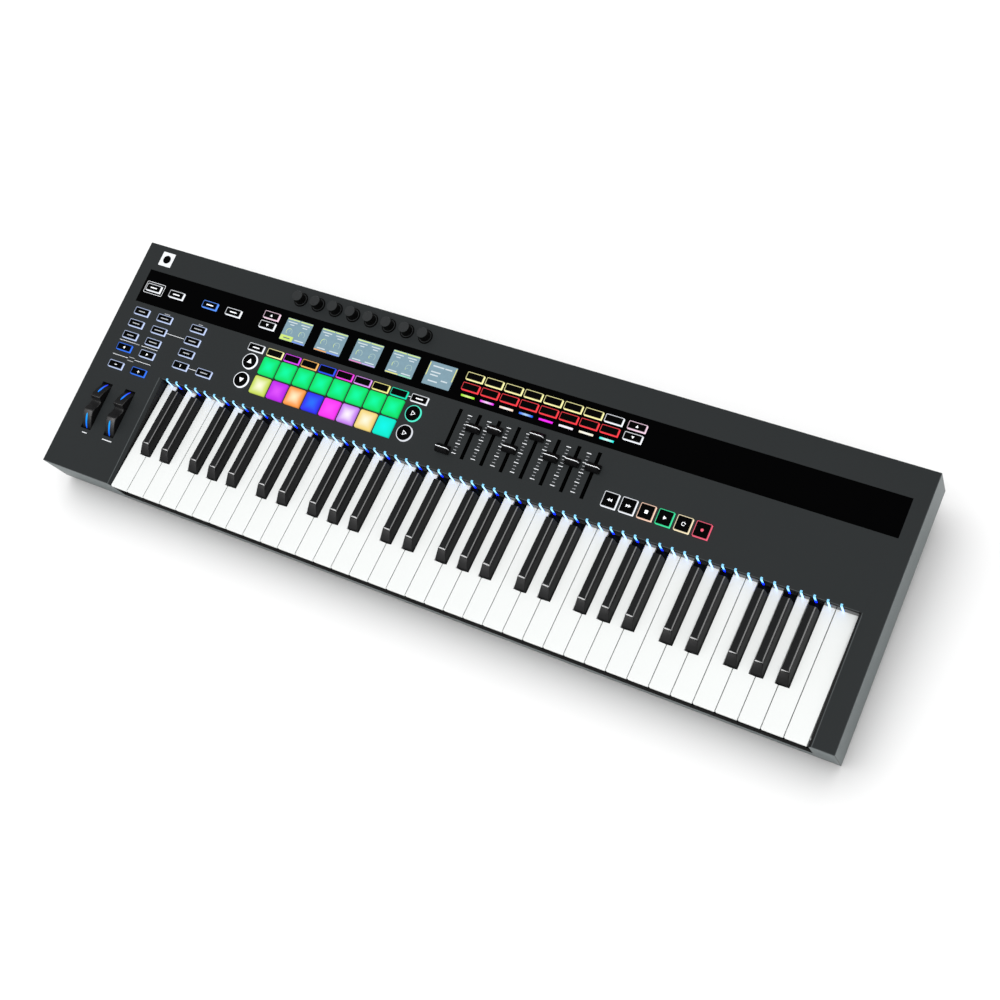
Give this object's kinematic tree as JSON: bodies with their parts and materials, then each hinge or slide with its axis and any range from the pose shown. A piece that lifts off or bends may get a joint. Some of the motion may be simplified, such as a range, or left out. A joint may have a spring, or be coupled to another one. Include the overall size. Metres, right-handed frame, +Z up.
{
  "type": "synthesizer",
  "caption": "Keyboard controller synthesizer: sloping slab body with piano-style keys, two lit wheels, knobs, faders, small displays, backlit pads and buttons, rear sockets.",
  "frame": {"origin": "centre of the footprint, on the floor plane", "axes": "+X to the player's right along the keyboard, +Y from the player to the rear sockets, +Z up"},
  "size_m": [0.98, 0.2986, 0.0979],
  "materials": {
    "case_charcoal": "fine matt charcoal on top, lighter satin grey on the front and side faces",
    "tray_black": "dark moulded plastic",
    "rear_black": "matt black connector plate",
    "smoked_gloss": "glossy black acrylic",
    "screen": "lit colour display, blue-grey",
    "clear_acrylic": "clear light pipe, lit",
    "board_green": "green circuit board",
    "zinc_steel": "zinc plated steel",
    "felt_red": "wool felt",
    "silicone_grey": "silicone rubber",
    "foot_rubber": "black rubber",
    "key_white": "gloss white",
    "key_black": "satin black",
    "knob_rubber": "soft-touch charcoal",
    "fader_black": "satin black with a white index line",
    "wheel_black": "soft-touch black with lit blue strips",
    "pad_green": "translucent silicone lit green",
    "pad_mixed": "translucent silicone, each pad lit its own colour",
    "button_dark": "dark face with a lit translucent rim",
    "socket_black": "black moulded socket"
  },
  "bodies": {
    "body": {"top_case": "case_charcoal", "base_tray": "tray_black", "rear_panel": "rear_black", "display_lens": "smoked_gloss", "display_modules": "screen", "light_guides": "clear_acrylic", "control_board": "board_green", "key_frame": "zinc_steel", "key_pivot_rod": "zinc_steel", "key_contact_board": "board_green", "key_contact_domes": "silicone_grey", "key_stop_felts": "felt_red", "key_return_springs": "zinc_steel", "encoder_bodies": "zinc_steel", "fader_bodies": "zinc_steel", "wheel_bracket": "zinc_steel", "midi_sockets": "socket_black", "jack_sockets": "socket_black", "power_sockets": "socket_black", "rubber_feet": "foot_rubber", "case_screws": "zinc_steel"},
    "keys_c": {"keys_c": "key_white"},
    "keys_c_sharp": {"keys_c_sharp": "key_black"},
    "keys_d": {"keys_d": "key_white"},
    "keys_d_sharp": {"keys_d_sharp": "key_black"},
    "keys_e": {"keys_e": "key_white"},
    "keys_f": {"keys_f": "key_white"},
    "keys_f_sharp": {"keys_f_sharp": "key_black"},
    "keys_g": {"keys_g": "key_white"},
    "keys_g_sharp": {"keys_g_sharp": "key_black"},
    "keys_a": {"keys_a": "key_white"},
    "keys_a_sharp": {"keys_a_sharp": "key_black"},
    "keys_b": {"keys_b": "key_white"},
    "pitch_wheel": {"pitch_wheel": "wheel_black"},
    "modulation_wheel": {"modulation_wheel": "wheel_black"},
    "knob_1": {"knob_1": "knob_rubber"},
    "knob_2": {"knob_2": "knob_rubber"},
    "knob_3": {"knob_3": "knob_rubber"},
    "knob_4": {"knob_4": "knob_rubber"},
    "knob_5": {"knob_5": "knob_rubber"},
    "knob_6": {"knob_6": "knob_rubber"},
    "knob_7": {"knob_7": "knob_rubber"},
    "knob_8": {"knob_8": "knob_rubber"},
    "fader_1": {"fader_1": "fader_black"},
    "fader_2": {"fader_2": "fader_black"},
    "fader_3": {"fader_3": "fader_black"},
    "fader_4": {"fader_4": "fader_black"},
    "fader_5": {"fader_5": "fader_black"},
    "fader_6": {"fader_6": "fader_black"},
    "fader_7": {"fader_7": "fader_black"},
    "fader_8": {"fader_8": "fader_black"},
    "pads_upper": {"pads_upper": "pad_green"},
    "pads_lower": {"pads_lower": "pad_mixed"},
    "left_buttons": {"left_buttons": "button_dark"},
    "strip_buttons": {"strip_buttons": "button_dark"},
    "soft_buttons": {"soft_buttons": "button_dark"},
    "arrow_buttons": {"arrow_buttons": "button_dark"},
    "fader_buttons": {"fader_buttons": "button_dark"},
    "transport_buttons": {"transport_buttons": "button_dark"},
    "power_button": {"power_button": "button_dark"}
  },
  "joints": [
    {"name": "pitch_wheel_turn", "type": "hinge", "parent": "body", "child": "pitch_wheel", "pos_m": [-0.4547, -0.06504, 0.04276], "axis": [1, 0, 0], "range_deg": [-32, 32], "stiffness_Nm_per_rad": 0.08},
    {"name": "modulation_wheel_turn", "type": "hinge", "parent": "body", "child": "modulation_wheel", "pos_m": [-0.4203, -0.06504, 0.04276], "axis": [1, 0, 0], "range_deg": [-32, 32]},
    {"name": "keys_c_press", "type": "hinge", "parent": "body", "child": "keys_c", "pos_m": [0, 0.04673, 0.04877], "axis": [1, 0, 0], "range_deg": [0, 3], "stiffness_Nm_per_rad": 4.8, "springref_deg": -6.02},
    {"name": "keys_c_sharp_press", "type": "hinge", "parent": "body", "child": "keys_c_sharp", "pos_m": [0, 0.04673, 0.04877], "axis": [1, 0, 0], "range_deg": [0, 3], "stiffness_Nm_per_rad": 4.8, "springref_deg": -6.02},
    {"name": "keys_d_press", "type": "hinge", "parent": "body", "child": "keys_d", "pos_m": [0, 0.04673, 0.04877], "axis": [1, 0, 0], "range_deg": [0, 3], "stiffness_Nm_per_rad": 4.8, "springref_deg": -6.02},
    {"name": "keys_d_sharp_press", "type": "hinge", "parent": "body", "child": "keys_d_sharp", "pos_m": [0, 0.04673, 0.04877], "axis": [1, 0, 0], "range_deg": [0, 3], "stiffness_Nm_per_rad": 4.8, "springref_deg": -6.02},
    {"name": "keys_e_press", "type": "hinge", "parent": "body", "child": "keys_e", "pos_m": [0, 0.04673, 0.04877], "axis": [1, 0, 0], "range_deg": [0, 3], "stiffness_Nm_per_rad": 4.8, "springref_deg": -6.02},
    {"name": "keys_f_press", "type": "hinge", "parent": "body", "child": "keys_f", "pos_m": [0, 0.04673, 0.04877], "axis": [1, 0, 0], "range_deg": [0, 3], "stiffness_Nm_per_rad": 4.8, "springref_deg": -6.02},
    {"name": "keys_f_sharp_press", "type": "hinge", "parent": "body", "child": "keys_f_sharp", "pos_m": [0, 0.04673, 0.04877], "axis": [1, 0, 0], "range_deg": [0, 3], "stiffness_Nm_per_rad": 4.8, "springref_deg": -6.02},
    {"name": "keys_g_press", "type": "hinge", "parent": "body", "child": "keys_g", "pos_m": [0, 0.04673, 0.04877], "axis": [1, 0, 0], "range_deg": [0, 3], "stiffness_Nm_per_rad": 4.8, "springref_deg": -6.02},
    {"name": "keys_g_sharp_press", "type": "hinge", "parent": "body", "child": "keys_g_sharp", "pos_m": [0, 0.04673, 0.04877], "axis": [1, 0, 0], "range_deg": [0, 3], "stiffness_Nm_per_rad": 4.8, "springref_deg": -6.02},
    {"name": "keys_a_press", "type": "hinge", "parent": "body", "child": "keys_a", "pos_m": [0, 0.04673, 0.04877], "axis": [1, 0, 0], "range_deg": [0, 3], "stiffness_Nm_per_rad": 4.8, "springref_deg": -6.02},
    {"name": "keys_a_sharp_press", "type": "hinge", "parent": "body", "child": "keys_a_sharp", "pos_m": [0, 0.04673, 0.04877], "axis": [1, 0, 0], "range_deg": [0, 3], "stiffness_Nm_per_rad": 4.8, "springref_deg": -6.02},
    {"name": "keys_b_press", "type": "hinge", "parent": "body", "child": "keys_b", "pos_m": [0, 0.04673, 0.04877], "axis": [1, 0, 0], "range_deg": [0, 3], "stiffness_Nm_per_rad": 4.8, "springref_deg": -6.02},
    {"name": "fader_1_slide", "type": "slide", "parent": "body", "child": "fader_1", "axis": [0, 0.9954, 0.0958], "range_m": [0, 0.045]},
    {"name": "fader_2_slide", "type": "slide", "parent": "body", "child": "fader_2", "axis": [0, 0.9954, 0.0958], "range_m": [-0.0317, 0.0133]},
    {"name": "fader_3_slide", "type": "slide", "parent": "body", "child": "fader_3", "axis": [0, 0.9954, 0.0958], "range_m": [-0.0369, 0.0081]},
    {"name": "fader_4_slide", "type": "slide", "parent": "body", "child": "fader_4", "axis": [0, 0.9954, 0.0958], "range_m": [-0.0227, 0.0223]},
    {"name": "fader_5_slide", "type": "slide", "parent": "body", "child": "fader_5", "axis": [0, 0.9954, 0.0958], "range_m": [-0.0445, 0.0005]},
    {"name": "fader_6_slide", "type": "slide", "parent": "body", "child": "fader_6", "axis": [0, 0.9954, 0.0958], "range_m": [-0.0275, 0.0175]},
    {"name": "fader_7_slide", "type": "slide", "parent": "body", "child": "fader_7", "axis": [0, 0.9954, 0.0958], "range_m": [-0.0301, 0.0149]},
    {"name": "fader_8_slide", "type": "slide", "parent": "body", "child": "fader_8", "axis": [0, 0.9954, 0.0958], "range_m": [-0.0305, 0.0145]},
    {"name": "transport_buttons_press", "type": "slide", "parent": "body", "child": "transport_buttons", "axis": [0, 0.0958, -0.9954], "range_m": [0, 0.0008], "stiffness_N_per_m": 400, "springref_m": -0.0025},
    {"name": "pads_upper_press", "type": "slide", "parent": "body", "child": "pads_upper", "axis": [0, 0.0958, -0.9954], "range_m": [0, 0.0006], "stiffness_N_per_m": 600, "springref_m": -0.0025},
    {"name": "pads_lower_press", "type": "slide", "parent": "body", "child": "pads_lower", "axis": [0, 0.0958, -0.9954], "range_m": [0, 0.0006], "stiffness_N_per_m": 600, "springref_m": -0.0025},
    {"name": "left_buttons_press", "type": "slide", "parent": "body", "child": "left_buttons", "axis": [0, 0.0958, -0.9954], "range_m": [0, 0.0008], "stiffness_N_per_m": 600, "springref_m": -0.0025},
    {"name": "strip_buttons_press", "type": "slide", "parent": "body", "child": "strip_buttons", "axis": [0, 0.0958, -0.9954], "range_m": [0, 0.0008], "stiffness_N_per_m": 400, "springref_m": -0.0025},
    {"name": "soft_buttons_press", "type": "slide", "parent": "body", "child": "soft_buttons", "axis": [0, 0.0958, -0.9954], "range_m": [0, 0.0008], "stiffness_N_per_m": 500, "springref_m": -0.0025},
    {"name": "arrow_buttons_press", "type": "slide", "parent": "body", "child": "arrow_buttons", "axis": [0, 0.0958, -0.9954], "range_m": [0, 0.0008], "stiffness_N_per_m": 400, "springref_m": -0.0025},
    {"name": "fader_buttons_press", "type": "slide", "parent": "body", "child": "fader_buttons", "axis": [0, 0.0958, -0.9954], "range_m": [0, 0.0008], "stiffness_N_per_m": 700, "springref_m": -0.0025},
    {"name": "power_button_press", "type": "slide", "parent": "body", "child": "power_button", "axis": [0, -0.9954, -0.0958], "range_m": [0, 0.0015], "stiffness_N_per_m": 600, "springref_m": -0.003},
    {"name": "knob_1_turn", "type": "hinge", "parent": "body", "child": "knob_1", "pos_m": [-0.2605, 0.12795, 0.08546], "axis": [0, -0.0958, 0.9954], "continuous": true},
    {"name": "knob_2_turn", "type": "hinge", "parent": "body", "child": "knob_2", "pos_m": [-0.2364, 0.12795, 0.08546], "axis": [0, -0.0958, 0.9954], "continuous": true},
    {"name": "knob_3_turn", "type": "hinge", "parent": "body", "child": "knob_3", "pos_m": [-0.2123, 0.12795, 0.08546], "axis": [0, -0.0958, 0.9954], "continuous": true},
    {"name": "knob_4_turn", "type": "hinge", "parent": "body", "child": "knob_4", "pos_m": [-0.1882, 0.12795, 0.08546], "axis": [0, -0.0958, 0.9954], "continuous": true},
    {"name": "knob_5_turn", "type": "hinge", "parent": "body", "child": "knob_5", "pos_m": [-0.1641, 0.12795, 0.08546], "axis": [0, -0.0958, 0.9954], "continuous": true},
    {"name": "knob_6_turn", "type": "hinge", "parent": "body", "child": "knob_6", "pos_m": [-0.14, 0.12795, 0.08546], "axis": [0, -0.0958, 0.9954], "continuous": true},
    {"name": "knob_7_turn", "type": "hinge", "parent": "body", "child": "knob_7", "pos_m": [-0.1159, 0.12795, 0.08546], "axis": [0, -0.0958, 0.9954], "continuous": true},
    {"name": "knob_8_turn", "type": "hinge", "parent": "body", "child": "knob_8", "pos_m": [-0.0918, 0.12795, 0.08546], "axis": [0, -0.0958, 0.9954], "continuous": true}
  ]
}
